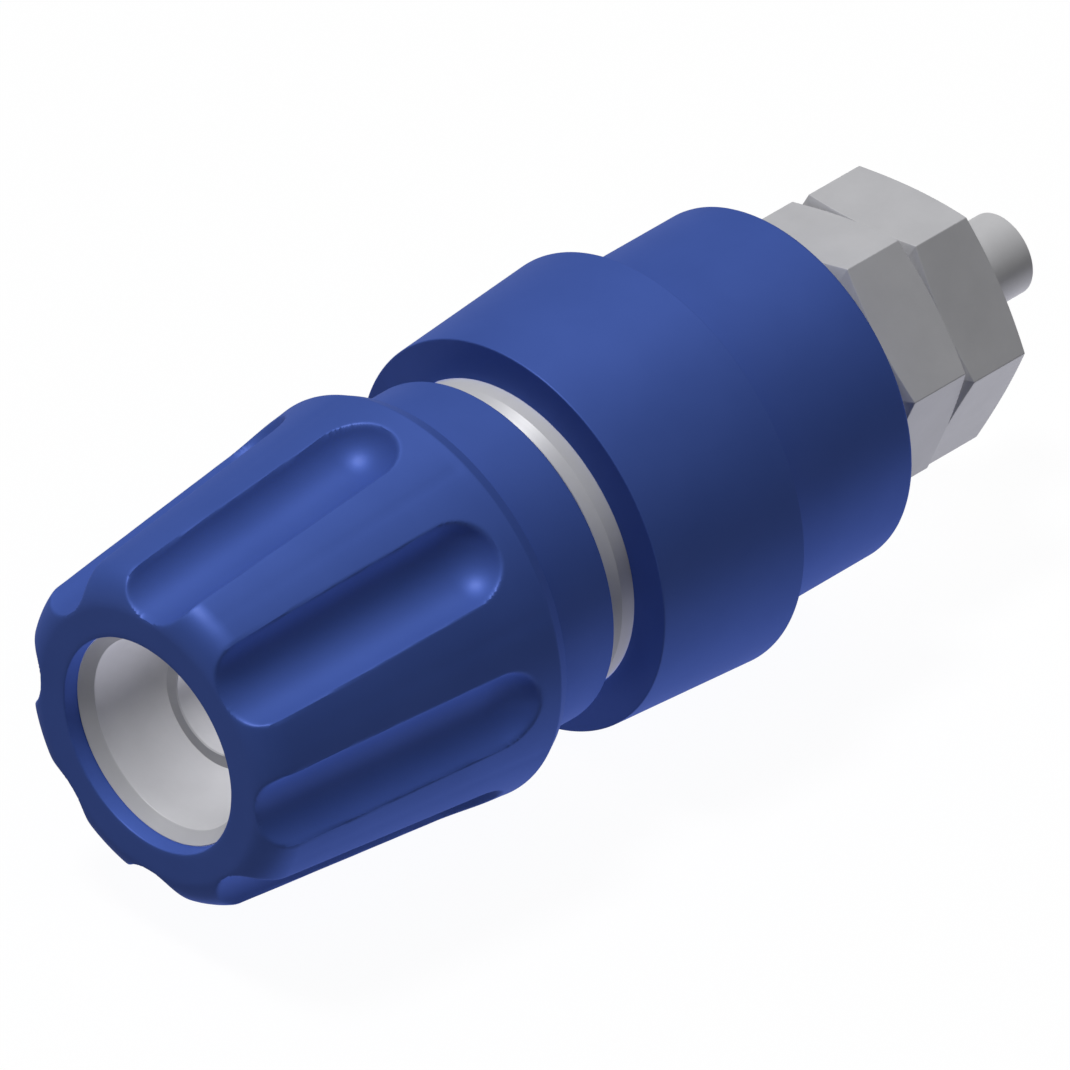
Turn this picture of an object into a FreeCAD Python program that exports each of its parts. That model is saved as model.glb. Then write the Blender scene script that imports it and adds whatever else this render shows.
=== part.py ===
# Insulated binding post for a panel: a fluted screw-down knob with a sleeved plug opening, a 4 mm socket
# standing inside it, a flanged metal stud in a two-part insulating bush, and two thin nuts.
#
# Millimetres. The post's axis is the Y axis and its knob points to -Y. The origin is on that axis, in the
# plane of the ring that bears on the front of the panel. Turning the knob unscrews it towards -Y.
import FreeCAD
import Part
import math
import os

# Knob: grip, flutes and collar
grip_length = 14.3
grip_wall = 2.5          # from the insert to the outside, at the front
grip_taper_deg = 6.0
front_rounding = 1.5
rear_chamfer_length = 0.58
rear_chamfer_depth = 0.3
flute_count = 8
flute_radius = 1.92
flute_depth = 1.18
flute_reach = 10.88      # from the knob's front to the centre of the flute's round end
collar_length = 3.53
collar_wall = 0.95
knob_rest_gap = 1.07     # collar to stud flange, with the knob nearly closed

# Metal insert of the knob
insert_recess = 0.68     # behind the knob's front face
insert_wall = 0.5
sleeve_bore_radius = 4.0
sleeve_bore_depth = 7.3
insert_chamfer = 0.45
knurl_length = 4.9
knurl_teeth = 36
knurl_depth = 0.3
knurl_wall = 0.75        # from the washer's recess to the bottom of the knurl

# Pressure washer and the ring that holds it in the knob
washer_flange_radius = 5.0
washer_flange_thickness = 0.9
washer_step = 0.75       # from the washer's flange to its hub
washer_proud = 0.47      # the hub stands this far out of the collar
ring_thickness = 0.5
ring_bite = 0.35         # depth of the ring's groove in the insert
ring_land = 0.4
ring_opening_deg = 50

# Socket tube
socket_radius = 2.0
socket_wall = 0.57
socket_reach = 15.38     # from the stud's flange to the mouth of the socket
socket_lead = 2.48       # plain stretch ahead of the thread
screw_radius = 3.3       # the thread's mean radius
neck_step = 0.35         # from the thread to the neck
neck_flat_depth = 0.35
neck_shoulder = 0.35
press_length = 4.5
knob_travel = 4.0
travel_stop_gap = 0.1
wire_hole_radius = 1.25
wire_hole_margin = 0.15

# Stud
disc_radius = 6.52
disc_thickness = 2.7
disc_chamfer = 0.08
boss_wall = 1.9
boss_length = 4.2
stud_radius = 3.0
stud_chamfer = 0.5
stud_proud = 1.2         # behind the rear nut
pin_radius = 1.73
pin_length = 3.2

# Insulating bush in two parts
body_length = 7.32
body_wall = 1.655
body_flare = 0.52
disc_seat_depth = 2.12
seat_chamfer = 0.3
seat_land = 1.14         # width of the ring that bears on the panel, with its chamfer
seat_recess = 0.2
bush_wall = 1.52
bush_length = 6.89       # from the panel seat to its rear face
spigot_length = 4.8
spigot_flat_depth = 0.7

# Nuts and spring washer
nut_across_flats = 10.0
nut_height = 3.2
nut_chamfer_deg = 15
mounting_nut_turn_deg = 9.7
terminal_nut_turn_deg = 3.4
spring_washer_radius = 4.95
spring_washer_thickness = 1.75
spring_washer_slot = 0.8
spring_washer_slant_deg = 20

# Clearances
screw_gap = 0.05         # the knob's thread on the tube's
neck_gap = 0.06          # the pressure washer on the neck
side_gap = 0.2           # round the washer and its hub
washer_play = 0.05
press_gap = 0.01         # pressed and driven seats
disc_gap = 0.045
bush_gap = 0.1
recess_gap = 0.08
floor_gap = 0.3
stud_gap = 0.15
nut_gap = 0.02
pocket_gap = 0.05

# Places along the axis, from the panel seat
seat_y = 0.0
body_front_y = seat_y - body_length
disc_seat_y = body_front_y + disc_seat_depth
disc_front_y = disc_seat_y - disc_thickness
boss_rear_y = disc_seat_y + boss_length
collar_rear_y = disc_front_y - knob_rest_gap
grip_rear_y = collar_rear_y - collar_length
knob_front_y = grip_rear_y - grip_length
insert_front_y = knob_front_y + insert_recess
insert_cone_y = insert_front_y + sleeve_bore_depth
knurl_front_y = collar_rear_y - knurl_length
groove_rear_y = collar_rear_y - ring_land
ring_rear_y = groove_rear_y - press_gap
ring_front_y = ring_rear_y - ring_thickness
groove_front_y = ring_front_y - press_gap
flange_rear_y = ring_front_y - washer_play
flange_front_y = flange_rear_y - washer_flange_thickness
recess_front_y = flange_front_y - washer_play
socket_front_y = disc_front_y - socket_reach
screw_front_y = socket_front_y + socket_lead
screw_rear_y = flange_front_y - knob_travel - travel_stop_gap
wire_hole_y = disc_front_y - wire_hole_radius - wire_hole_margin
press_end_y = disc_front_y + press_length
bush_front_y = seat_y - seat_recess
bush_rear_y = seat_y + bush_length
spigot_rear_y = seat_y + spigot_length
bush_floor_y = spigot_rear_y + floor_gap
mounting_nut_y = bush_rear_y + spring_washer_thickness
terminal_nut_y = mounting_nut_y + nut_height
stud_end_y = terminal_nut_y + nut_height + stud_proud
pin_end_y = stud_end_y + pin_length

# Radii that follow from their neighbours
insert_radius = sleeve_bore_radius + insert_wall
insert_screw_radius = screw_radius + screw_gap
recess_radius = washer_flange_radius + side_gap
knurl_radius = recess_radius + knurl_wall + knurl_depth
groove_radius = recess_radius + ring_bite
hub_radius = washer_flange_radius - washer_step
grip_front_radius = insert_radius + grip_wall
grip_widest_y = grip_rear_y - rear_chamfer_length
grip_spread = (grip_widest_y - knob_front_y) * math.tan(math.radians(grip_taper_deg))
grip_rear_radius = grip_front_radius + grip_spread
collar_radius = knurl_radius + collar_wall
socket_outer_radius = socket_radius + socket_wall
neck_radius = screw_radius - neck_step
neck_flat = neck_radius - neck_flat_depth
press_radius = neck_radius - neck_shoulder
boss_half_flats = press_radius + boss_wall
body_bore_radius = disc_radius + disc_gap
body_front_radius = body_bore_radius + body_wall
body_seat_radius = body_front_radius + body_flare
seat_inner_radius = body_seat_radius - seat_land
bush_radius = seat_inner_radius - recess_gap
spigot_radius = bush_radius - bush_wall - bush_gap
spigot_flat = spigot_radius - spigot_flat_depth
stud_bore_radius = stud_radius + stud_gap

ORIGIN = FreeCAD.Vector(0, 0, 0)
AXIS = FreeCAD.Vector(0, 1, 0)


def turned(*outline):
    """Solid turned about the post's axis from an outline of (radius, y) points."""
    points = [FreeCAD.Vector(radius, y, 0) for radius, y in outline]
    face = Part.Face(Part.makePolygon(points + points[:1]))
    return face.revolve(ORIGIN, AXIS, 360)


def drum(radius, y_from, y_to):
    """Plain cylinder on the post's axis."""
    return Part.makeCylinder(radius, y_to - y_from, FreeCAD.Vector(0, y_from, 0), AXIS)


def prism(corners, y_from, y_to):
    """Prism along the axis over (radius, angle) corners, the angle going from +X to +Z."""
    points = []
    for radius, angle in corners:
        turn = math.radians(angle)
        points.append(FreeCAD.Vector(radius * math.cos(turn), y_from, radius * math.sin(turn)))
    face = Part.Face(Part.makePolygon(points + points[:1]))
    return face.extrude(FreeCAD.Vector(0, y_to - y_from, 0))


def hexagon(half_flats, y_from, y_to, turn_deg=0.0):
    """Hexagonal prism whose first corner stands at the given angle."""
    corner_radius = half_flats / math.cos(math.radians(30))
    return prism([(corner_radius, turn_deg + 60 * k) for k in range(6)], y_from, y_to)


def flatted_drum(radius, flat, y_from, y_to, both_sides):
    """Cylinder with a flat towards +X, and one towards -X too where both sides are flatted."""
    low_x = -flat if both_sides else -radius
    corner = FreeCAD.Vector(low_x, y_from, -radius)
    block = Part.makeBox(flat - low_x, y_to - y_from, 2 * radius, corner)
    return drum(radius, y_from, y_to).common(block)


def rims(solid, radius, y):
    """The solid's round edges of this radius at this place along the axis."""
    found = []
    for edge in solid.Edges:
        curve = edge.Curve
        if isinstance(curve, Part.Circle) and abs(curve.Radius - radius) < 1e-4:
            if abs(curve.Center.y - y) < 1e-4:
                found.append(edge)
    return found


def flutes():
    """Round-bottomed, ball-ended grooves that run along the grip's taper and out through its front."""
    taper = math.radians(grip_taper_deg)
    along = FreeCAD.Vector(math.sin(taper), math.cos(taper), 0)
    outward = FreeCAD.Vector(math.cos(taper), -math.sin(taper), 0)
    front = FreeCAD.Vector(grip_front_radius, knob_front_y, 0)
    lifted = front + outward * (flute_radius - flute_depth)
    reach = (knob_front_y + flute_reach - lifted.y) / along.y
    ball = lifted + along * reach
    run = flute_reach + 2 * flute_radius
    cutter = Part.makeCylinder(flute_radius, run, ball - along * run, along)
    cutter = cutter.fuse(Part.makeSphere(flute_radius, ball))
    copies = []
    for k in range(flute_count):
        copy = cutter.copy()
        copy.rotate(ORIGIN, AXIS, k * 360 / flute_count)
        copies.append(copy)
    return copies


def insert_blank():
    """Outside of the knob's metal insert: a plain front sleeve and a wider, straight-knurled rear."""
    corners = []
    for k in range(knurl_teeth):
        angle = k * 360 / knurl_teeth
        corners.append((knurl_radius, angle))
        corners.append((knurl_radius - knurl_depth, angle + 180 / knurl_teeth))
    rear = prism(corners, knurl_front_y, collar_rear_y)
    return drum(insert_radius, insert_front_y, knurl_front_y).fuse(rear)


def knob_shell():
    """Moulded grip with its flutes and collar, shaped round the insert."""
    shell = turned(
        (0, knob_front_y),
        (grip_front_radius, knob_front_y),
        (grip_rear_radius, grip_widest_y),
        (grip_rear_radius - rear_chamfer_depth, grip_rear_y),
        (collar_radius, grip_rear_y),
        (collar_radius, collar_rear_y),
        (0, collar_rear_y),
    )
    shell = shell.makeFillet(front_rounding, rims(shell, grip_front_radius, knob_front_y))
    shell = shell.cut(flutes())
    shell = shell.cut(drum(insert_radius, knob_front_y, insert_front_y))
    return shell.cut(insert_blank())


def knob_insert():
    """Knob's metal insert: plug sleeve in front, thread behind it, then the pressure washer's recess."""
    inside = turned(
        (0, insert_front_y),
        (sleeve_bore_radius + insert_chamfer, insert_front_y),
        (sleeve_bore_radius, insert_front_y + insert_chamfer),
        (sleeve_bore_radius, insert_cone_y),
        (insert_screw_radius, insert_cone_y + sleeve_bore_radius - insert_screw_radius),
        (insert_screw_radius, recess_front_y),
        (recess_radius, recess_front_y),
        (recess_radius, groove_front_y),
        (groove_radius, groove_front_y),
        (groove_radius, groove_rear_y),
        (recess_radius, groove_rear_y),
        (recess_radius, collar_rear_y),
        (0, collar_rear_y),
    )
    return insert_blank().cut(inside)


def clamp_washer():
    """Pressure washer that presses the wire: it travels with the knob and is kept from turning by the neck."""
    hub_rear_y = collar_rear_y + washer_proud
    washer = turned(
        (0, flange_front_y),
        (washer_flange_radius, flange_front_y),
        (washer_flange_radius, flange_rear_y),
        (hub_radius, flange_rear_y),
        (hub_radius, hub_rear_y),
        (0, hub_rear_y),
    )
    hole = flatted_drum(neck_radius + neck_gap, neck_flat + neck_gap, flange_front_y, hub_rear_y, True)
    return washer.cut(hole)


def retaining_ring():
    """Open snap ring in the insert's groove, behind the washer's flange."""
    inner = hub_radius + side_gap
    outer = groove_radius - press_gap
    ring = drum(outer, ring_front_y, ring_rear_y).cut(drum(inner, ring_front_y, ring_rear_y))
    half = ring_opening_deg / 2
    opening = [(0, 0), (2 * outer, -half), (2 * outer, half)]
    return ring.cut(prism(opening, ring_front_y, ring_rear_y))


def contact_tube():
    """Socket tube: plain mouth, screw thread, flatted neck with the wire hole, and a pressed-in end."""
    neck = flatted_drum(neck_radius, neck_flat, screw_rear_y, disc_front_y, True)
    tube = drum(socket_outer_radius, socket_front_y, screw_front_y).fuse([
        drum(screw_radius, screw_front_y, screw_rear_y),
        neck,
        drum(press_radius, disc_front_y, press_end_y),
    ])
    tube = tube.cut(drum(socket_radius, socket_front_y, press_end_y))
    wire_start = FreeCAD.Vector(-neck_radius, wire_hole_y, 0)
    wire_hole = Part.makeCylinder(wire_hole_radius, 2 * neck_radius, wire_start, FreeCAD.Vector(1, 0, 0))
    return tube.cut(wire_hole)


def flanged_stud():
    """Stud: flange that the wire is pressed on, hexagonal boss, threaded shank and solder pin."""
    disc = turned(
        (0, disc_front_y),
        (disc_radius - disc_chamfer, disc_front_y),
        (disc_radius, disc_front_y + disc_chamfer),
        (disc_radius, disc_seat_y),
        (0, disc_seat_y),
    )
    shank = turned(
        (0, boss_rear_y),
        (stud_radius, boss_rear_y),
        (stud_radius, stud_end_y - stud_chamfer),
        (stud_radius - stud_chamfer, stud_end_y),
        (pin_radius, stud_end_y),
        (pin_radius, pin_end_y),
        (0, pin_end_y),
    )
    boss = hexagon(boss_half_flats, disc_seat_y, boss_rear_y)
    bore = drum(press_radius + press_gap, disc_front_y, press_end_y)
    return disc.fuse([boss, shank]).cut(bore)


def front_body():
    """Front half of the insulating bush: cup for the stud's flange, panel seat and spigot."""
    body = turned(
        (0, body_front_y),
        (body_front_radius, body_front_y),
        (body_seat_radius, seat_y - seat_chamfer),
        (body_seat_radius - seat_chamfer, seat_y),
        (seat_inner_radius, seat_y),
        (seat_inner_radius, bush_front_y),
        (0, bush_front_y),
    )
    spigot = flatted_drum(spigot_radius, spigot_flat, bush_front_y, spigot_rear_y, False)
    pocket = hexagon(boss_half_flats + pocket_gap, disc_seat_y, boss_rear_y + pocket_gap)
    return body.fuse(spigot).cut([
        drum(body_bore_radius, body_front_y, disc_seat_y),
        pocket,
        drum(stud_bore_radius, disc_seat_y, spigot_rear_y),
    ])


def rear_bush():
    """Rear half of the insulating bush: a cup that slides over the spigot, flat to flat."""
    bush = drum(bush_radius, bush_front_y, bush_rear_y)
    cup = flatted_drum(spigot_radius + bush_gap, spigot_flat + bush_gap, bush_front_y, bush_floor_y, False)
    return bush.cut([cup, drum(stud_bore_radius, bush_front_y, bush_rear_y)])


def spring_washer():
    """Split spring washer, pressed flat, with its slanted slot."""
    ring = drum(spring_washer_radius, bush_rear_y, mounting_nut_y)
    ring = ring.cut(drum(stud_bore_radius, bush_rear_y, mounting_nut_y))
    middle_y = (bush_rear_y + mounting_nut_y) / 2
    reach = 2 * spring_washer_radius
    corner = FreeCAD.Vector(0, middle_y - reach, -spring_washer_slot / 2)
    slot = Part.makeBox(reach, 2 * reach, spring_washer_slot, corner)
    slot.rotate(FreeCAD.Vector(0, middle_y, 0), FreeCAD.Vector(1, 0, 0), spring_washer_slant_deg)
    return ring.cut(slot)


def nut(front_y, turn_deg):
    """Thin hexagon nut with its corners turned off at both faces."""
    half_flats = nut_across_flats / 2
    rear_y = front_y + nut_height
    corner_radius = half_flats / math.cos(math.radians(30))
    drop = (corner_radius - half_flats) * math.tan(math.radians(nut_chamfer_deg))
    turned_off = turned(
        (0, front_y),
        (half_flats, front_y),
        (corner_radius, front_y + drop),
        (corner_radius, rear_y - drop),
        (half_flats, rear_y),
        (0, rear_y),
    )
    hole = drum(stud_radius + nut_gap, front_y, rear_y)
    return hexagon(half_flats, front_y, rear_y, turn_deg).common(turned_off).cut(hole)


def mounting_nut():
    """Nut that clamps the bush to the panel."""
    return nut(mounting_nut_y, mounting_nut_turn_deg)


def terminal_nut():
    """Second nut, for a ring lug."""
    return nut(terminal_nut_y, terminal_nut_turn_deg)


PIECES = (
    knob_shell,
    knob_insert,
    clamp_washer,
    retaining_ring,
    contact_tube,
    flanged_stud,
    front_body,
    rear_bush,
    spring_washer,
    mounting_nut,
    terminal_nut,
)

os.makedirs("parts", exist_ok=True)
for piece in PIECES:
    solid = piece()
    solid.exportStep("parts/" + piece.__name__ + ".step")
    box = solid.BoundBox
    print(piece.__name__, solid.ShapeType, len(solid.Solids), solid.isValid(), round(solid.Volume, 3),
          "y", round(box.YMin, 3), "to", round(box.YMax, 3), "r", round(box.XMax, 3))
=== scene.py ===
# Visible pieces of the binding post, one for each of its solids, with the floor, the lamps and the camera.
# Sizes are in millimetres, and the meshes in metres. Most pieces are closed outlines carried round the post's
# axis, which is the Y axis. A corner of an outline is (radius, place along the axis, rounding).
import bmesh
import bpy
import math
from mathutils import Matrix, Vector


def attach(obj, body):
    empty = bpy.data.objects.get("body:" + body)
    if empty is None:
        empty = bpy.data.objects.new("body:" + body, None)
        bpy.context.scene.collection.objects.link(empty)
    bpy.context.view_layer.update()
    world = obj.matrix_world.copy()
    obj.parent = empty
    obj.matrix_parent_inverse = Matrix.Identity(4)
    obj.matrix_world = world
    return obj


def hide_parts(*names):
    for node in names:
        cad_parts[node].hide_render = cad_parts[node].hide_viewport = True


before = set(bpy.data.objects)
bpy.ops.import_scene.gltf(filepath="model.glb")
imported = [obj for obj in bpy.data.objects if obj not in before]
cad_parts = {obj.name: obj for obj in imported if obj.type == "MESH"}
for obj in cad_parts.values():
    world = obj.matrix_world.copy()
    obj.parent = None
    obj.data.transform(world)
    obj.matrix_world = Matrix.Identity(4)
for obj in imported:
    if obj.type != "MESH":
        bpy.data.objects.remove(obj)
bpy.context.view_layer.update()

MM = 0.001
TURN = 2 * math.pi
TINY = 1e-6
SHARP_EDGE = math.radians(30)    # faces that meet at a larger angle are shaded apart

# Places along the axis, from the front
knob_front = -26.8
insert_front = -26.12
socket_front = -23.28
thread_front = -20.8
bore_rear = -18.82
thread_rear = -14.93
knurl_front = -13.87
grip_widest = -13.08
grip_rear = -12.5
recess_front = -10.88
flange_front = -10.83
flange_rear = -9.93
ring_front = -9.88
ring_rear = -9.38
wire_hole = -9.3
collar_rear = -8.97
hub_rear = -8.5
rim_front = -8.36                # raised rim that the wire is pressed over
disc_front = -7.9
body_front = -7.32
disc_seat = -5.2
tube_end = -3.4
boss_rear = -1.0
body_widest = -0.3
bush_front = -0.2
panel_seat = 0
spigot_rear = 4.8
bush_floor = 5.1
bush_rear = 6.89
mounting_nut_front = 8.64
stud_end = 16.24
pin_end = 19.44

# Grip of the knob
grip_front_radius = 7.0
grip_taper = math.radians(6.0)
front_rounding = 1.5
rear_bevel = 0.3
flute_count = 8
flute_radius = 1.92
flute_depth = 1.18
flute_reach = 10.88              # from the knob's front to the centre of the flute's round end
flute_edge = 0.11                # softness of the flutes' edges

# Other radii of the knob and of what it carries
hole_radius = 4.5
hole_rounding = 0.06
collar_radius = 7.2
sleeve_bore = 4.0
sleeve_chamfer = 0.45
knurl_radius = 6.25
knurl_teeth = 36
knurl_depth = 0.3
recess_radius = 5.2
groove_radius = 5.55
ring_bore = 4.45
washer_radius = 5.0
hub_radius = 4.25

# Radii of the socket tube
socket_bore = 2.0
socket_outer = 2.57
neck_radius = 2.95
neck_flat = 2.6                  # from the axis to the neck's flats
press_radius = 2.6
wire_hole_radius = 1.25

# Radii of the stud
disc_radius = 6.52
rim_radius = 6.31
dish_radius = 4.7
rim_slope = 0.2                  # how far the rim's inside leans outwards
boss_flat = 4.5
boss_rounding = 0.1
stud_radius = 3.0
stud_tip = 2.5
pin_radius = 1.73

# Radii of the insulating bush
body_front_radius = 8.22
body_radius = 8.74
seat_outer = 8.28
seat_inner = 7.6
bush_radius = 7.52
spigot_radius = 5.9
spigot_flat = 5.2
stud_bore = 3.15

# Nuts and spring washer
nut_flat = 5.0
nut_height = 3.2
nut_rounding = 0.06
nut_slope = math.tan(math.radians(15))
nut_bore = 2.46
nut_sink = 0.7                   # depth of the countersinks
spring_radius = 4.95
spring_half_slot = 0.4
spring_slant = math.tan(math.radians(20))

# Right-handed screw threads of 1 mm pitch
thread_pitch = 1.0
thread_step = thread_pitch / 16
crest_edge = 0.07                # edges of crest and root, in pitches from the middle of the crest
root_edge = 0.37
knob_thread = 3.5                # outer radius
knob_thread_depth = 0.55
stud_thread_depth = 0.58

# Clearances
press_gap = 0.01                 # between parts that are pressed or snapped together
knob_thread_gap = 0.05
nut_thread_gap = 0.02
neck_gap = 0.06
disc_gap = 0.045
boss_gap = 0.05
spigot_gap = 0.1

# Steps round the axis
ring_steps = 96
small_steps = 120
thread_steps = 144
large_steps = 192


# Meshes


def add_object(name, data):
    """New object in the scene."""
    added = bpy.data.objects.new(name, data)
    bpy.context.scene.collection.objects.link(added)
    return added


def shade(mesh):
    """Smooth shading that stops at sharp edges."""
    mesh.shade_smooth()
    mesh.set_sharp_from_angle(angle=SHARP_EDGE)


def node_piece(node, points, faces, body):
    """Visible piece that rides on a body and stands for one solid."""
    name = node + "_detail"
    mesh = bpy.data.meshes.new(name)
    mesh.from_pydata(points, [], faces)
    skin = bmesh.new()
    skin.from_mesh(mesh)
    if skin.calc_volume(signed=True) < 0:
        bmesh.ops.reverse_faces(skin, faces=skin.faces)
    skin.to_mesh(mesh)
    skin.free()
    shade(mesh)
    piece = add_object(name, mesh)
    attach(piece, body)
    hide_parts(node)
    return piece


def place(radius, y, angle):
    """Point in metres; the angle goes from +X to +Z."""
    return (radius * math.cos(angle) * MM, y * MM, radius * math.sin(angle) * MM)


def spread(start, end, count):
    """Evenly spread values, from the start up to the last one before the end."""
    return [start + (end - start) * k / count for k in range(count)]


def around(count):
    """Evenly spread angles."""
    return spread(0, TURN, count)


def same(one, other):
    """Whether two sizes are the same, apart from their last digits."""
    return abs(one - other) < TINY


def rounded(corners, steps=4, guard=0.03):
    """Closed outline with its corners rounded. Each arc has so many steps, and a guard point on the straight
    runs at both ends, which keeps those runs flat when shaded."""
    outline = []
    for here, (radius, y, rounding) in enumerate(corners):
        corner = Vector((radius, y))
        before = Vector(corners[here - 1][:2])
        after = Vector(corners[(here + 1) % len(corners)][:2])
        if rounding > 0:
            outline += corner_arc(before, corner, after, rounding, steps, guard)
        else:
            outline.append(tuple(corner))
    return outline


def corner_arc(before, corner, after, rounding, steps, guard):
    """Points that take an outline round one corner."""
    back = before - corner
    ahead = after - corner
    half = back.angle(ahead) / 2
    reach = rounding / math.tan(half)
    start = corner + back.normalized() * reach
    inwards = (back.normalized() + ahead.normalized()).normalized()
    centre = corner + inwards * (rounding / math.sin(half))
    spoke = start - centre
    bend = math.pi - 2 * half
    if (corner - before).cross(after - corner) < 0:
        bend = -bend
    points = []
    if back.length > reach + 2 * guard:
        points.append(tuple(start + back.normalized() * guard))
    for k in range(steps + 1):
        part = bend * k / steps
        turned = Vector((
            spoke.x * math.cos(part) - spoke.y * math.sin(part),
            spoke.x * math.sin(part) + spoke.y * math.cos(part),
        ))
        points.append(tuple(centre + turned))
    if ahead.length > reach + 2 * guard:
        points.append(tuple(corner + ahead.normalized() * (reach + guard)))
    return points


def divided(outline, y_from, y_to):
    """The outline with a thread's points added on its runs between two places."""
    result = []
    for here, (radius, y) in enumerate(outline):
        result.append((radius, y))
        next_radius, next_y = outline[(here + 1) % len(outline)]
        inside = y_from - TINY <= min(y, next_y) and max(y, next_y) <= y_to + TINY
        count = int(abs(next_y - y) / thread_step)
        if inside:
            for k in range(1, count):
                part = k / count
                result.append((radius + (next_radius - radius) * part, y + (next_y - y) * part))
    return result


def sweep(angles, outline_at, capped):
    """Points and faces of an outline carried round the axis. A capped outline starts and ends on the axis;
    the others are closed loops."""
    points = []
    faces = []
    for angle in angles:
        outline = outline_at(angle)
        if capped:
            outline = outline[1:-1]
        points += [place(radius, y, angle) for radius, y in outline]
    size = len(outline)
    count = len(angles)
    for k in range(count):
        low = k * size
        high = (k + 1) % count * size
        for i in range(size - 1 if capped else size):
            j = (i + 1) % size
            faces.append((low + i, low + j, high + j, high + i))
    if capped:
        ends = outline_at(angles[0])
        first = len(points)
        points += [place(0, ends[0][1], 0), place(0, ends[-1][1], 0)]
        for k in range(count):
            low = k * size
            high = (k + 1) % count * size
            faces.append((first, low, high))
            faces.append((first + 1, high + size - 1, low + size - 1))
    return points, faces


def swept_piece(node, angles, outline_at, body, capped=False):
    """Piece carried all the way round the axis."""
    points, faces = sweep(angles, outline_at, capped)
    return node_piece(node, points, faces, body)


def open_ring(node, outline, start_at, stretch_at, body):
    """Piece carried part of the way round the axis, with flat ends. Where it starts and how far it goes may
    depend on the radius and the place."""
    points = []
    faces = []
    size = len(outline)
    for k in range(ring_steps + 1):
        for radius, y in outline:
            angle = start_at(radius, y) + stretch_at(radius) * k / ring_steps
            points.append(place(radius, y, angle))
    for k in range(ring_steps):
        low = k * size
        high = (k + 1) * size
        for i in range(size):
            j = (i + 1) % size
            faces.append((low + i, low + j, high + j, high + i))
    faces.append(tuple(reversed(range(size))))
    faces.append(tuple(range(ring_steps * size, (ring_steps + 1) * size)))
    return node_piece(node, points, faces, body)


def hexagon_corner(flat, rounding):
    """Distance from the axis to the centre of a hexagon's corner rounding, and half the rounding's angle."""
    centre = (flat - rounding) / math.cos(TURN / 12)
    return centre, math.atan2(rounding / 2, centre + rounding * math.cos(TURN / 12))


def hexagon_radius(angle, flat, rounding, turn=0.0):
    """Distance from the axis to the outside of a hexagon with rounded corners; its flats are at 'flat'."""
    centre, corner_half = hexagon_corner(flat, rounding)
    off_corner = abs((angle - turn + TURN / 12) % (TURN / 6) - TURN / 12)
    if off_corner < corner_half:
        across = centre * math.sin(off_corner)
        return centre * math.cos(off_corner) + math.sqrt(rounding ** 2 - across ** 2)
    return flat / math.cos(TURN / 12 - off_corner)


def hexagon_angles(flat, rounding, turn):
    """Angles for a hexagon: close together round its corners, wider apart on its flats."""
    corner_half = hexagon_corner(flat, rounding)[1]
    margin = 1.25
    flat_steps = 16
    offsets = [corner_half * part for part in (-margin, -1, -0.6, -0.2, 0.2, 0.6, 1)]
    offsets += spread(corner_half * margin, TURN / 6 - corner_half * margin, flat_steps)
    return [turn + side * TURN / 6 + offset for side in range(6) for offset in offsets]


def flatted_radius(angle, radius, flat, both_sides=False):
    """Distance from the axis to a drum with a flat towards +X, or towards both +X and -X."""
    towards = math.cos(angle)
    if both_sides:
        towards = abs(towards)
    if towards * radius > flat:
        return flat / towards
    return radius


def screw_radius(angle, y, major, depth):
    """Distance from the axis to a thread with narrow flat crests and wider flat roots."""
    phase = (y / thread_pitch + angle / TURN) % 1.0
    off_crest = abs(phase - 0.5)
    slope = (off_crest - crest_edge) / (root_edge - crest_edge)
    return major - depth * min(1.0, max(0.0, slope))


# Materials


def new_material(name):
    """Node material with its shader, and functions that add a node to it and link two."""
    material = bpy.data.materials.new(name)
    material.use_nodes = True
    nodes = material.node_tree.nodes
    shader = nodes["Principled BSDF"]

    def add(kind, **values):
        node = nodes.new(kind)
        for key, value in values.items():
            if hasattr(node, key):
                setattr(node, key, value)
            else:
                node.inputs[key.replace("_", " ").title()].default_value = value
        return node

    return material, shader, add, material.node_tree.links.new


def noise(add, link, where, scale, detail, roughness):
    """Noise over the given coordinates."""
    pattern = add("ShaderNodeTexNoise", scale=scale, detail=detail, roughness=roughness)
    link(where, pattern.inputs["Vector"])
    return pattern.outputs["Fac"]


def mottle(shader, add, link, pattern, light, dark):
    """Lets a pattern shift the colour between a light and a dark shade."""
    ramp = add("ShaderNodeValToRGB")
    low, high = ramp.color_ramp.elements
    low.position = 0.3
    low.color = (*dark, 1)
    high.position = 0.7
    high.color = (*light, 1)
    link(pattern, ramp.inputs["Fac"])
    link(ramp.outputs["Color"], shader.inputs["Base Color"])


def roughen(shader, add, link, pattern, roughness, swing, strength, height):
    """Lets a fine pattern shift the roughness and raise the surface; the height is in metres."""
    gloss = add("ShaderNodeMapRange")
    gloss.inputs["To Min"].default_value = roughness - swing
    gloss.inputs["To Max"].default_value = roughness + swing
    link(pattern, gloss.inputs["Value"])
    link(gloss.outputs["Result"], shader.inputs["Roughness"])
    bump = add("ShaderNodeBump")
    bump.inputs["Strength"].default_value = strength
    bump.inputs["Distance"].default_value = height
    link(pattern, bump.inputs["Height"])
    link(bump.outputs["Normal"], shader.inputs["Normal"])


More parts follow.
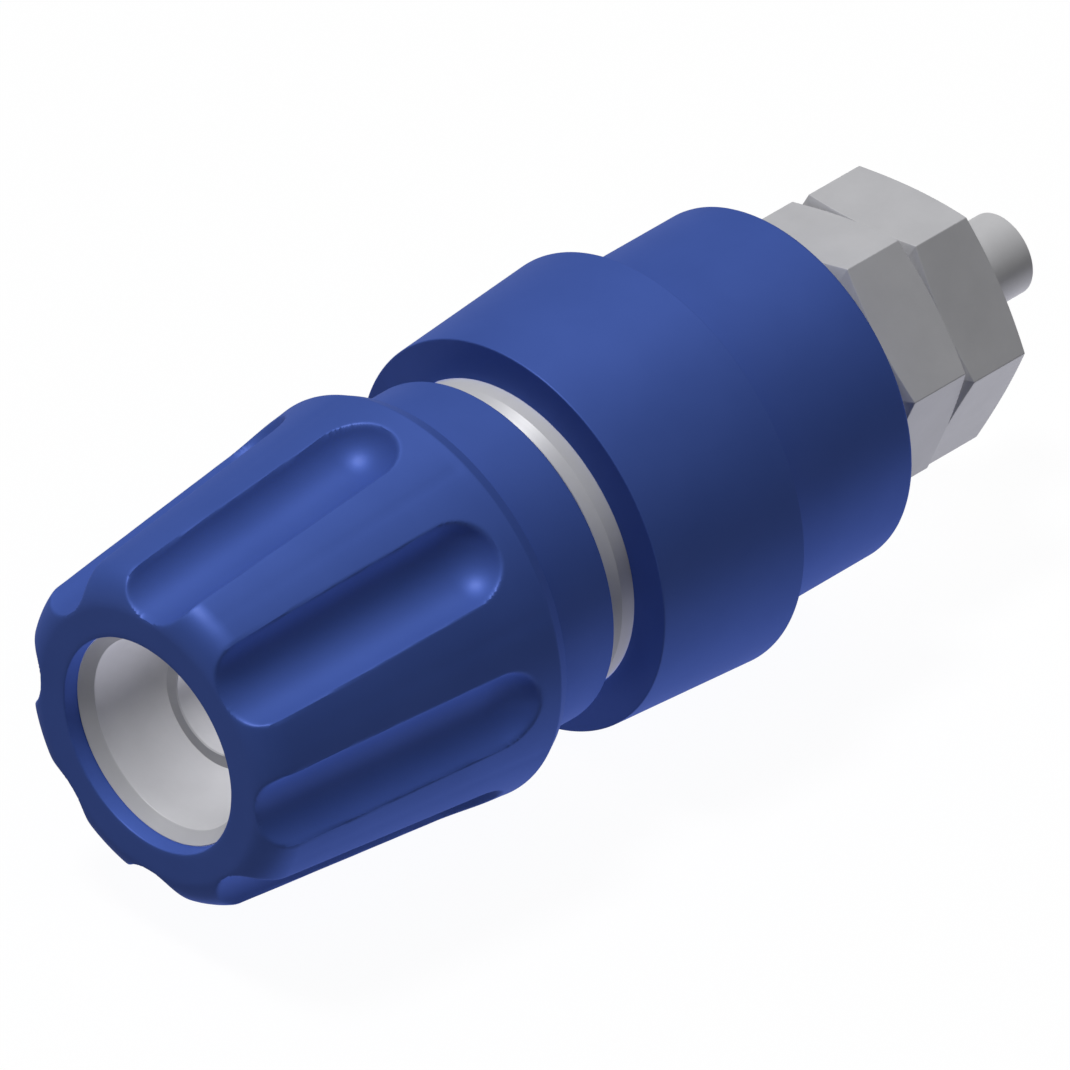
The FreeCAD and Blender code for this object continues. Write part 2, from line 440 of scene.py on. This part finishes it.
def moulded_plastic(name, light, dark):
    """Satin moulded plastic: fine spark-eroded grain, faint clouding and slightly uneven gloss."""
    material, shader, add, link = new_material(name)
    shader.inputs["Metallic"].default_value = 0.25
    shader.inputs["Specular Tint"].default_value = (0.4, 0.5, 1.0, 1)
    shader.inputs["Specular IOR Level"].default_value = 0.0
    shader.inputs["Coat Weight"].default_value = 0.1
    shader.inputs["Coat Roughness"].default_value = 0.38
    where = add("ShaderNodeTexCoord").outputs["Object"]
    clouds = noise(add, link, where, scale=260.0, detail=3.0, roughness=0.55)
    mottle(shader, add, link, clouds, light, dark)
    grain = noise(add, link, where, scale=5200.0, detail=4.0, roughness=0.6)
    roughen(shader, add, link, grain, roughness=0.52, swing=0.04, strength=0.12, height=0.00002)
    return material


def turned_metal(name, light, dark, roughness, drawn_flats=False):
    """Plated turned metal: fine lines round the axis, and lines along it on flats of drawn bar."""
    material, shader, add, link = new_material(name)
    shader.inputs["Metallic"].default_value = 0.12
    shader.inputs["Specular IOR Level"].default_value = 0.02
    where = add("ShaderNodeTexCoord")
    parts = add("ShaderNodeSeparateXYZ")
    link(where.outputs["Object"], parts.inputs["Vector"])
    across = add("ShaderNodeCombineXYZ")
    link(parts.outputs["X"], across.inputs["X"])
    link(parts.outputs["Z"], across.inputs["Y"])
    radius = add("ShaderNodeVectorMath", operation="LENGTH")
    link(across.outputs["Vector"], radius.inputs[0])
    lathe = add("ShaderNodeCombineXYZ")
    link(radius.outputs["Value"], lathe.inputs["X"])
    link(parts.outputs["Y"], lathe.inputs["Y"])
    lines = noise(add, link, lathe.outputs["Vector"], scale=9000.0, detail=3.0, roughness=0.6)
    if drawn_flats:
        turned = lines
        drawn = noise(add, link, across.outputs["Vector"], scale=5000.0, detail=3.0, roughness=0.6)
        facing = add("ShaderNodeSeparateXYZ")
        link(where.outputs["Normal"], facing.inputs["Vector"])
        along = add("ShaderNodeMath", operation="ABSOLUTE")
        link(facing.outputs["Y"], along.inputs[0])
        choose = add("ShaderNodeMix", data_type="FLOAT")
        link(along.outputs["Value"], choose.inputs["Factor"])
        link(drawn, choose.inputs["A"])
        link(turned, choose.inputs["B"])
        lines = choose.outputs["Result"]
    patches = noise(add, link, where.outputs["Object"], scale=420.0, detail=4.0, roughness=0.6)
    mottle(shader, add, link, patches, light, dark)
    roughen(shader, add, link, lines, roughness, swing=0.06, strength=0.15, height=0.00001)
    return material


# Knob shell

cone_normal = (math.cos(grip_taper), -math.sin(grip_taper))
down_cone = Vector((math.sin(grip_taper), math.cos(grip_taper), 0))
cone_front = Vector((grip_front_radius, knob_front, 0))
flute_front = cone_front + Vector((*cone_normal, 0)) * (flute_radius - flute_depth)
flute_end = flute_front + down_cone * ((knob_front + flute_reach - flute_front.y) / down_cone.y)


def cone_radius(y):
    """Radius of the grip's cone, without its flutes."""
    return grip_front_radius + (y - knob_front) * math.tan(grip_taper)


def flute_cut(radius, y, normal, angle):
    """How far the flutes sink a point of the grip along its own normal, which is (radial, axial). A flute is
    the path of a ball from the centre of the flute's end straight out through the knob's front."""
    pitch = TURN / flute_count
    local = (angle + pitch / 2) % pitch - pitch / 2
    point = Vector((radius * math.cos(local), y, radius * math.sin(local)))
    facing = Vector((normal[0] * math.cos(local), normal[1], normal[0] * math.sin(local)))
    arm = point - flute_end
    if arm.dot(down_cone) < 0:
        arm -= down_cone * arm.dot(down_cone)
        facing -= down_cone * facing.dot(down_cone)
    square = facing.length_squared
    middle = arm.dot(facing)
    inside = middle ** 2 - square * (arm.length_squared - flute_radius ** 2)
    depth = (middle + math.sqrt(max(inside, 0.0))) / square
    if inside <= 0 and depth > 0:
        depth = -depth
    return (depth + math.sqrt(depth ** 2 + flute_edge ** 2)) / 2


def flute_edge_angle():
    """Half-width of a flute as an angle, halfway along it, found by halving."""
    low = 0.0
    high = TURN / flute_count / 2
    y = knob_front + flute_reach / 2
    for _ in range(30):
        middle = (low + high) / 2
        if flute_cut(cone_radius(y), y, cone_normal, middle) > flute_edge / 2:
            low = middle
        else:
            high = middle
    return low


def grip_angles():
    """Angles round the grip, closest together at the flutes' edges."""
    edge = flute_edge_angle()
    half_pitch = TURN / flute_count / 2
    flute_steps = 20
    flute_crowding = 1.3
    land_steps = 10
    land_crowding = 1.5
    half = [edge * (1 - (1 - k / flute_steps) ** flute_crowding) for k in range(flute_steps)]
    half += [edge + (half_pitch - edge) * (k / land_steps) ** land_crowding for k in range(land_steps)]
    angles = []
    for flute in range(flute_count):
        middle = flute * TURN / flute_count
        angles += [middle + offset for offset in half]
        angles += [middle + 2 * half_pitch - offset for offset in [half_pitch] + half[:0:-1]]
    return angles


def knurled(angle, crest):
    """Distance from the axis to a straight knurl: a zigzag between its crest and its root."""
    phase = abs(angle * knurl_teeth / TURN % 1.0 - 0.5) * 2
    return crest - knurl_depth * (1 - phase)


def hole_rows():
    """Rounded edge of the hole in the knob's front, which the flutes don't reach."""
    centre = hole_radius + hole_rounding
    steps = 4
    rows = []
    for k in range(steps + 1):
        part = TURN / 4 * k / steps
        radius = centre - hole_rounding * math.cos(part)
        rows.append((radius, knob_front + hole_rounding - hole_rounding * math.sin(part), None))
    return rows


def face_rows(outer_radius):
    """Flat front of the knob, from the hole to its rounding."""
    inner_radius = hole_radius + hole_rounding
    steps = 6
    return [(radius, knob_front, (0, -1)) for radius in spread(inner_radius, outer_radius, steps)[1:]]


def rounding_rows(inner_radius):
    """Rounding between the knob's front and its cone."""
    steps = 30
    rows = []
    for k in range(steps + 1):
        part = (TURN / 4 - grip_taper) * k / steps
        radial = math.sin(part)
        axial = -math.cos(part)
        radius = inner_radius + front_rounding * radial
        rows.append((radius, knob_front + front_rounding + front_rounding * axial, (radial, axial)))
    return rows


def cone_rows(start):
    """Cone of the grip behind its rounding, with the closest rows at the flutes' round ends."""
    close_start = knob_front + flute_reach - 0.5
    close_end = close_start + 2.5
    cone_end = close_end + 0.5
    front_steps = 18
    close_steps = 36
    rear_steps = 2
    places = spread(start, close_start, front_steps)[1:]
    places += spread(close_start, close_end, close_steps)
    places += spread(close_end, cone_end, rear_steps) + [cone_end]
    return [(cone_radius(y), y, cone_normal) for y in places]


def knob_shell():
    """Grip with its flutes, rear edge and collar, and the moulded-in seat of the metal insert."""
    flat_end = grip_front_radius - front_rounding * math.tan((TURN / 4 - grip_taper) / 2)
    rows = hole_rows() + face_rows(flat_end) + rounding_rows(flat_end)
    rows += cone_rows(start=rows[-1][1])
    knurl_seat = knurl_radius + press_gap
    widest = cone_radius(grip_widest)
    insert_edge = 0.3
    tail = rounded([
        (rows[-1][0], rows[-1][1], 0),
        (widest, grip_widest, 0.18),
        (widest - rear_bevel, grip_rear, 0.1),
        (collar_radius, grip_rear, 0.1),
        (collar_radius, collar_rear, 0.12),
        (knurl_seat, collar_rear, 0),
        (knurl_seat, knurl_front, 0),
        (hole_radius, knurl_front, 0),
        (hole_radius, insert_front, 0),
        (hole_radius, insert_front - insert_edge, 0),
    ], steps=5)[1:]

    def outline(angle):
        result = []
        for radius, y, normal in rows:
            if normal:
                sink = flute_cut(radius, y, normal, angle)
                radius -= sink * normal[0]
                y -= sink * normal[1]
            result.append((radius, y))
        for radius, y in tail:
            if same(radius, knurl_seat):
                radius = knurled(angle, knurl_seat)
            result.append((radius, y))
        return result

    return swept_piece("knob_shell", grip_angles(), outline, "knob")


# What the knob carries


def knob_insert():
    """Metal insert of the knob: sleeve bore, thread, and the recess of the pressure washer."""
    sleeve_radius = hole_radius - press_gap / 2
    thread_bore = knob_thread - knob_thread_depth + knob_thread_gap
    countersink = 0.7
    base = rounded([
        (sleeve_radius, insert_front, 0.05),
        (sleeve_radius, knurl_front - press_gap, 0),
        (knurl_radius, knurl_front - press_gap, 0),
        (knurl_radius, collar_rear, 0),
        (recess_radius, collar_rear, 0.08),
        (recess_radius, ring_rear + press_gap, 0),
        (groove_radius, ring_rear + press_gap, 0),
        (groove_radius, ring_front - press_gap, 0),
        (recess_radius, ring_front - press_gap, 0),
        (recess_radius, recess_front, 0.1),
        (thread_bore + countersink, recess_front, 0),
        (thread_bore, recess_front - countersink, 0),
        (thread_bore, bore_rear + sleeve_bore - thread_bore, 0),
        (sleeve_bore, bore_rear, 0.1),
        (sleeve_bore, insert_front + sleeve_chamfer, 0.05),
        (sleeve_bore + sleeve_chamfer, insert_front, 0),
    ])
    base = divided(base, bore_rear, recess_front)

    def outline(angle):
        result = []
        for radius, y in base:
            if same(radius, knurl_radius):
                radius = knurled(angle, knurl_radius)
            elif bore_rear < y < recess_front and radius < sleeve_bore:
                thread = screw_radius(angle, y, knob_thread, knob_thread_depth)
                radius = max(radius, thread + knob_thread_gap)
            result.append((radius, y))
        return result

    return swept_piece("knob_insert", around(thread_steps), outline, "knob")


def clamp_washer():
    """Pressure washer: flange in the knob, hub that presses the wire, hole with two flats."""
    hole = neck_radius + neck_gap
    base = rounded([
        (hole, flange_front, 0),
        (washer_radius, flange_front, 0.1),
        (washer_radius, flange_rear, 0.1),
        (hub_radius, flange_rear, 0),
        (hub_radius, hub_rear, 0.12),
        (hole, hub_rear, 0),
    ])

    def outline(angle):
        side = flatted_radius(angle, hole, neck_flat + neck_gap, both_sides=True)
        return [(side if same(radius, hole) else radius, y) for radius, y in base]

    angles = around(small_steps)
    return swept_piece("clamp_washer", angles, outline, "pressure_washer")


def retaining_ring():
    """Snap ring behind the pressure washer's flange."""
    outer = groove_radius - press_gap
    outline = rounded([
        (ring_bore, ring_front, 0.1),
        (outer, ring_front, 0.1),
        (outer, ring_rear, 0.1),
        (ring_bore, ring_rear, 0.1),
    ], steps=3)
    half_opening = math.radians(25)
    return open_ring(
        "retaining_ring",
        outline,
        lambda radius, y: half_opening,
        lambda radius: TURN - 2 * half_opening,
        "knob",
    )


# Post


def contact_tube():
    """Socket tube: mouth, thread, flatted neck with the wire hole, and pressed-in end."""
    mouth_lead = 0.05
    run_out = 0.3
    base = rounded([
        (socket_bore + mouth_lead, socket_front, 0),
        (socket_outer, socket_front, 0.04),
        (socket_outer, thread_front, 0),
        (neck_radius, thread_front, 0),
        (knob_thread, thread_front + knob_thread_depth, 0),
        (knob_thread, thread_rear - run_out, 0),
        (neck_radius, thread_rear, 0),
        (neck_radius, disc_front, 0),
        (press_radius, disc_front, 0),
        (press_radius, tube_end, 0.1),
        (socket_bore, tube_end, 0),
        (socket_bore, socket_front + mouth_lead, 0),
    ])
    base = divided(base, thread_front, thread_rear)

    def outline(angle):
        result = []
        for radius, y in base:
            raised = radius > neck_radius - TINY
            if raised and y > thread_rear - TINY:
                radius = flatted_radius(angle, neck_radius, neck_flat, both_sides=True)
            elif raised:
                radius = min(radius, screw_radius(angle, y, knob_thread, knob_thread_depth))
            result.append((radius, y))
        return result

    tube = swept_piece("contact_tube", around(small_steps), outline, "post")
    cut_hole(tube, wire_hole_radius, wire_hole)
    return tube


def cut_hole(piece, radius, y):
    """Drills a round hole across the piece along X."""
    count = 48
    reach = 6
    points = []
    for side in (-reach, reach):
        for angle in around(count):
            height = radius * math.sin(angle)
            points.append((side * MM, (y + radius * math.cos(angle)) * MM, height * MM))
    faces = [(k, (k + 1) % count, count + (k + 1) % count, count + k) for k in range(count)]
    faces.append(tuple(reversed(range(count))))
    faces.append(tuple(range(count, 2 * count)))
    mesh = bpy.data.meshes.new("drill")
    mesh.from_pydata(points, [], faces)
    drill = add_object("drill", mesh)
    boolean = piece.modifiers.new("hole", "BOOLEAN")
    boolean.operation = "DIFFERENCE"
    boolean.solver = "EXACT"
    boolean.object = drill
    bpy.context.view_layer.update()
    graph = bpy.context.evaluated_depsgraph_get()
    drilled = bpy.data.meshes.new_from_object(piece.evaluated_get(graph))
    piece.modifiers.clear()
    piece.data = drilled
    bpy.data.objects.remove(drill)
    shade(drilled)


def flanged_stud():
    """Stud: dished flange with a rim, hexagonal boss, threaded shank and plain pin."""
    tube_seat = press_radius + press_gap
    base = rounded([
        (0, tube_end, 0),
        (tube_seat, tube_end, 0),
        (tube_seat, disc_front, 0),
        (dish_radius, disc_front, 0),
        (dish_radius + rim_slope, rim_front, 0.05),
        (rim_radius, rim_front, 0.05),
        (disc_radius, disc_front, 0.03),
        (disc_radius, disc_seat, 0.06),
        (boss_flat, disc_seat, 0),
        (boss_flat, boss_rear, 0),
        (stud_radius, boss_rear, 0),
        (stud_radius, stud_end - (stud_radius - stud_tip), 0.06),
        (stud_tip, stud_end, 0.06),
        (pin_radius, stud_end, 0.1),
        (pin_radius, pin_end, 0.05),
        (0, pin_end, 0),
    ])
    base = divided(base, spigot_rear, stud_end)
    thread_inside = stud_tip - 0.05    # nothing is cut inside this radius

    def outline(angle):
        result = []
        for radius, y in base:
            if same(radius, boss_flat):
                radius = hexagon_radius(angle, boss_flat, boss_rounding)
            elif y > spigot_rear and radius > thread_inside:
                radius = min(radius, screw_radius(angle, y, stud_radius, stud_thread_depth))
            result.append((radius, y))
        return result

    angles = around(thread_steps)
    return swept_piece("flanged_stud", angles, outline, "post", capped=True)


def front_body():
    """Front half of the bush: flared outside, cup for the flange, seat for the panel, spigot."""
    cup_radius = disc_radius + disc_gap
    boss_seat = boss_flat + boss_gap
    base = rounded([
        (body_front_radius, body_front, 0.05),
        (body_radius, body_widest, 0.02),
        (seat_outer, panel_seat, 0.05),
        (seat_inner, panel_seat, 0),
        (seat_inner, bush_front, 0),
        (spigot_radius, bush_front, 0),
        (spigot_radius, spigot_rear, 0.1),
        (stud_bore, spigot_rear, 0),
        (stud_bore, boss_rear + boss_gap, 0),
        (boss_seat, boss_rear + boss_gap, 0),
        (boss_seat, disc_seat, 0),
        (cup_radius, disc_seat, 0),
        (cup_radius, body_front, 0.03),
    ])

    def outline(angle):
        spigot = flatted_radius(angle, spigot_radius, spigot_flat)
        result = []
        for radius, y in base:
            if same(radius, boss_seat):
                radius = hexagon_radius(angle, boss_seat, boss_rounding)
            elif spigot_flat < radius < spigot_radius + TINY:
                radius = min(radius, spigot)
            result.append((radius, y))
        return result

    return swept_piece("front_body", around(large_steps), outline, "post")


def rear_bush():
    """Rear half of the bush: a cup over the spigot."""
    cup_radius = spigot_radius + spigot_gap
    base = rounded([
        (bush_radius, bush_front, 0.05),
        (bush_radius, bush_rear, 0.15),
        (stud_bore, bush_rear, 0.1),
        (stud_bore, bush_floor, 0),
        (cup_radius, bush_floor, 0),
        (cup_radius, bush_front, 0),
    ])

    def outline(angle):
        cup = flatted_radius(angle, cup_radius, spigot_flat + spigot_gap)
        return [(cup if same(radius, cup_radius) else radius, y) for radius, y in base]

    return swept_piece("rear_bush", around(large_steps), outline, "post")


def spring_washer():
    """Split spring washer, pressed flat, with its slanted slot."""
    outline = rounded([
        (stud_bore, bush_rear, 0.1),
        (spring_radius, bush_rear, 0.1),
        (spring_radius, mounting_nut_front, 0.1),
        (stud_bore, mounting_nut_front, 0.1),
    ], steps=3)
    middle = (bush_rear + mounting_nut_front) / 2
    return open_ring(
        "spring_washer",
        outline,
        lambda radius, y: (spring_half_slot - spring_slant * (y - middle)) / radius,
        lambda radius: TURN - 2 * spring_half_slot / radius,
        "post",
    )


def nut(node, front, turn_deg):
    """Thin hexagon nut with turned-off corners, countersinks and its thread."""
    rear = front + nut_height
    turn = math.radians(turn_deg)
    edge = 0.03
    edge_middle = edge * 0.3
    guard = 0.05
    hole_edge = 0.02
    shoulder_edge = 0.02
    bore = divided([
        (stud_bore, front + hole_edge),
        (nut_bore, front + nut_sink),
        (nut_bore, rear - nut_sink),
        (stud_bore, rear - hole_edge),
    ], front, rear)

    def outline(angle):
        outside = hexagon_radius(angle, nut_flat, nut_rounding, turn)
        drop = (outside - nut_flat) * nut_slope
        inset = outside - edge
        inset_drop = max(0.0, inset - nut_flat) * nut_slope
        shoulder = min(nut_flat, inset) - shoulder_edge
        side = [
            (stud_bore + guard, 0),
            (stud_bore + 3 * guard, 0),
            (shoulder - guard, 0),
            (shoulder, 0),
            (inset, inset_drop),
            (outside - edge_middle, drop + edge_middle),
            (outside, drop + edge),
            (outside, drop + 2 * edge),
        ]
        result = []
        for radius, y in bore:
            thread = screw_radius(angle, y, stud_radius, stud_thread_depth)
            result.append((max(radius, thread + nut_thread_gap), y))
        result += [(radius, rear - depth) for radius, depth in side]
        result += [(radius, front + depth) for radius, depth in reversed(side)]
        return result

    angles = hexagon_angles(nut_flat, nut_rounding, turn)
    return swept_piece(node, angles, outline, "post")


# Floor, light and camera


def studio_floor():
    """Pale floor that the camera and reflections see nearly white, with the object's shadow on it."""
    half = 2000 * MM
    height = -8.72 * MM
    brightness = 0.87
    corners = [(x * half, y * half, height) for x, y in ((-1, -1), (1, -1), (1, 1), (-1, 1))]
    mesh = bpy.data.meshes.new("floor")
    mesh.from_pydata(corners, [], [(0, 1, 2, 3)])
    floor = add_object("floor", mesh)
    material, shader, add, link = new_material("pale_floor")
    shader.inputs["Base Color"].default_value = (0.12, 0.12, 0.12, 1)
    shader.inputs["Roughness"].default_value = 1.0
    shader.inputs["Specular IOR Level"].default_value = 0.0
    shader.inputs["Emission Color"].default_value = (1, 1, 1, 1)
    path = add("ShaderNodeLightPath")
    seen = path.outputs["Is Camera Ray"]
    for kind in ("Is Glossy Ray", "Is Transmission Ray"):
        larger = add("ShaderNodeMath", operation="MAXIMUM")
        link(seen, larger.inputs[0])
        link(path.outputs[kind], larger.inputs[1])
        seen = larger.outputs["Value"]
    glow = add("ShaderNodeMath", operation="MULTIPLY")
    link(seen, glow.inputs[0])
    glow.inputs[1].default_value = brightness
    link(glow.outputs["Value"], shader.inputs["Emission Strength"])
    clear = add("ShaderNodeBsdfTransparent")
    either = add("ShaderNodeMixShader")
    link(path.outputs["Is Shadow Ray"], either.inputs["Fac"])
    link(shader.outputs["BSDF"], either.inputs[1])
    link(clear.outputs["BSDF"], either.inputs[2])
    link(either.outputs["Shader"], material.node_tree.nodes["Material Output"].inputs["Surface"])
    mesh.materials.append(material)


def lamp(name, towards, strength, softness_deg, colour=(1, 1, 1), shadow=False, gloss=True):
    """Soft distant lamp that shines from the given side, with or without shadows and highlights."""
    light = bpy.data.lights.new(name, "SUN")
    light.energy = strength * math.pi
    light.color = colour
    light.angle = math.radians(softness_deg)
    light.use_shadow = shadow
    holder = add_object(name, light)
    holder.rotation_euler = Vector(towards).to_track_quat("Z", "Y").to_euler()
    holder.visible_glossy = gloss


def studio_camera():
    """Camera with a very long lens, which looks at the post from above and in front, all axes alike."""
    towards_camera = Vector((1, -1, 1)).normalized()
    aim = Vector((0.374, -6.445, -0.22)) * MM
    distance = 1134.4 * MM
    camera = add_object("camera", bpy.data.cameras.new("camera"))
    camera.data.lens = 1000
    camera.data.sensor_width = 36
    camera.data.clip_end = 10
    camera.location = aim + towards_camera * distance
    camera.rotation_euler = towards_camera.to_track_quat("Z", "Y").to_euler()
    bpy.context.scene.camera = camera


blue = moulded_plastic("blue_plastic", (0.056, 0.104, 0.372), (0.051, 0.096, 0.348))
nickel = turned_metal("nickel_plate", (0.53, 0.53, 0.54), (0.49, 0.49, 0.50), 0.44)
nut_nickel = turned_metal("nut_plate", (0.50, 0.50, 0.515), (0.46, 0.46, 0.475), 0.4, drawn_flats=True)
spring_zinc = turned_metal("spring_zinc", (0.46, 0.47, 0.49), (0.40, 0.41, 0.43), 0.42)

for piece, material in (
    (knob_shell(), blue),
    (knob_insert(), nickel),
    (clamp_washer(), nickel),
    (retaining_ring(), spring_zinc),
    (contact_tube(), nickel),
    (flanged_stud(), nickel),
    (front_body(), blue),
    (rear_bush(), blue),
    (spring_washer(), spring_zinc),
    (nut("mounting_nut", mounting_nut_front, turn_deg=9.7), nut_nickel),
    (nut("terminal_nut", mounting_nut_front + nut_height, turn_deg=3.9), nut_nickel),
):
    piece.data.materials.append(material)

studio_floor()
key_side = (-0.22, -0.12, 0.95)
under_side = (0.27, 0.5, -0.96)
lamp("key", key_side, strength=0.2, softness_deg=14, shadow=True)
lamp("key_fill", key_side, strength=0.77, softness_deg=14)
lamp("under", under_side, strength=0.93, softness_deg=20, colour=(0.95, 0.95, 1.08), gloss=False)

world = bpy.data.worlds.new("studio")
world.use_nodes = True
world.node_tree.nodes["Background"].inputs["Color"].default_value = (0.11, 0.11, 0.115, 1)
bpy.context.scene.world = world

studio_camera()
bpy.context.scene.view_settings.view_transform = "Standard"
